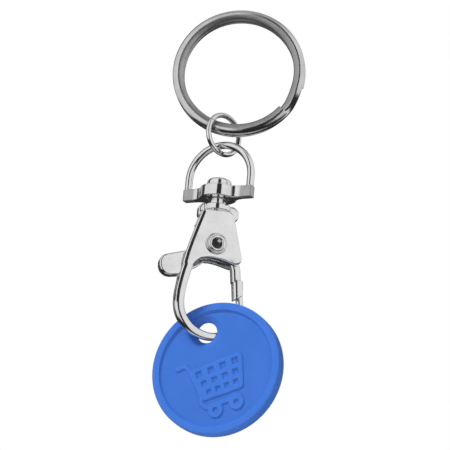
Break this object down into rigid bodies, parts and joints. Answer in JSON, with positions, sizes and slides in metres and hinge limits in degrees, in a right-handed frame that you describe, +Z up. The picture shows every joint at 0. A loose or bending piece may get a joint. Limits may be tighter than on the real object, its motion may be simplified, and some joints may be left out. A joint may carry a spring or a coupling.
{
  "type": "trolley token key fob",
  "caption": "Coin-size plastic trolley token with a raised cart, hung by its hole from a swivel trigger hook with a sprung gate, a jump ring and a split key ring.",
  "frame": {"origin": "inside top of the split ring, where a key, finger or nail carries the hanging fob", "axes": "+Z up along the hanging fob, +Y from the viewer's side to the back of the split ring, +X to the viewer's right"},
  "size_m": [0.0241, 0.0084, 0.0773],
  "materials": {
    "ring_steel": "nickel-plated tumbled spring steel wire, bright with fine scratches",
    "nickel_plate": "bright nickel plate on steel",
    "cast_nickel": "bright nickel plate on die-cast zinc, slightly rounded and wavy",
    "spring_steel": "bare spring wire, lightly oiled",
    "blue_plastic": "injection-moulded mid-blue plastic, satin with a fine eroded grain"
  },
  "bodies": {
    "ring": {"split_ring": "ring_steel"},
    "link": {"jump_ring": "nickel_plate"},
    "eye": {"swivel_eye": "nickel_plate"},
    "hook": {"hook_body": "cast_nickel", "pivot_rivet": "nickel_plate", "gate_spring": "spring_steel"},
    "gate": {"gate_lever": "cast_nickel"},
    "token": {"trolley_token": "blue_plastic"}
  },
  "joints": [
    {"name": "link_swing", "type": "hinge", "parent": "ring", "child": "link", "pos_m": [-0.00171, 0, -0.02034], "axis": [1, 0, 0], "range_deg": [-70, 70]},
    {"name": "eye_swing", "type": "hinge", "parent": "link", "child": "eye", "pos_m": [-0.00171, 0, -0.02489], "axis": [0.6691, 0.7431, 0], "range_deg": [-40, 40]},
    {"name": "hook_swivel", "type": "hinge", "parent": "eye", "child": "hook", "pos_m": [-0.00171, 0, -0.033], "axis": [0, 0, 1], "continuous": true},
    {"name": "gate_pivot", "type": "hinge", "parent": "hook", "child": "gate", "pos_m": [-0.00171, 0, -0.04193], "axis": [-0.342, 0.9397, 0], "range_deg": [0, 24], "stiffness_Nm_per_rad": 0.02, "springref_deg": -45.84},
    {"name": "token_swing", "type": "hinge", "parent": "hook", "child": "token", "pos_m": [-0.00143, 0.0001, -0.05783], "axis": [0.9397, 0.342, 0], "range_deg": [-10, 15]}
  ]
}
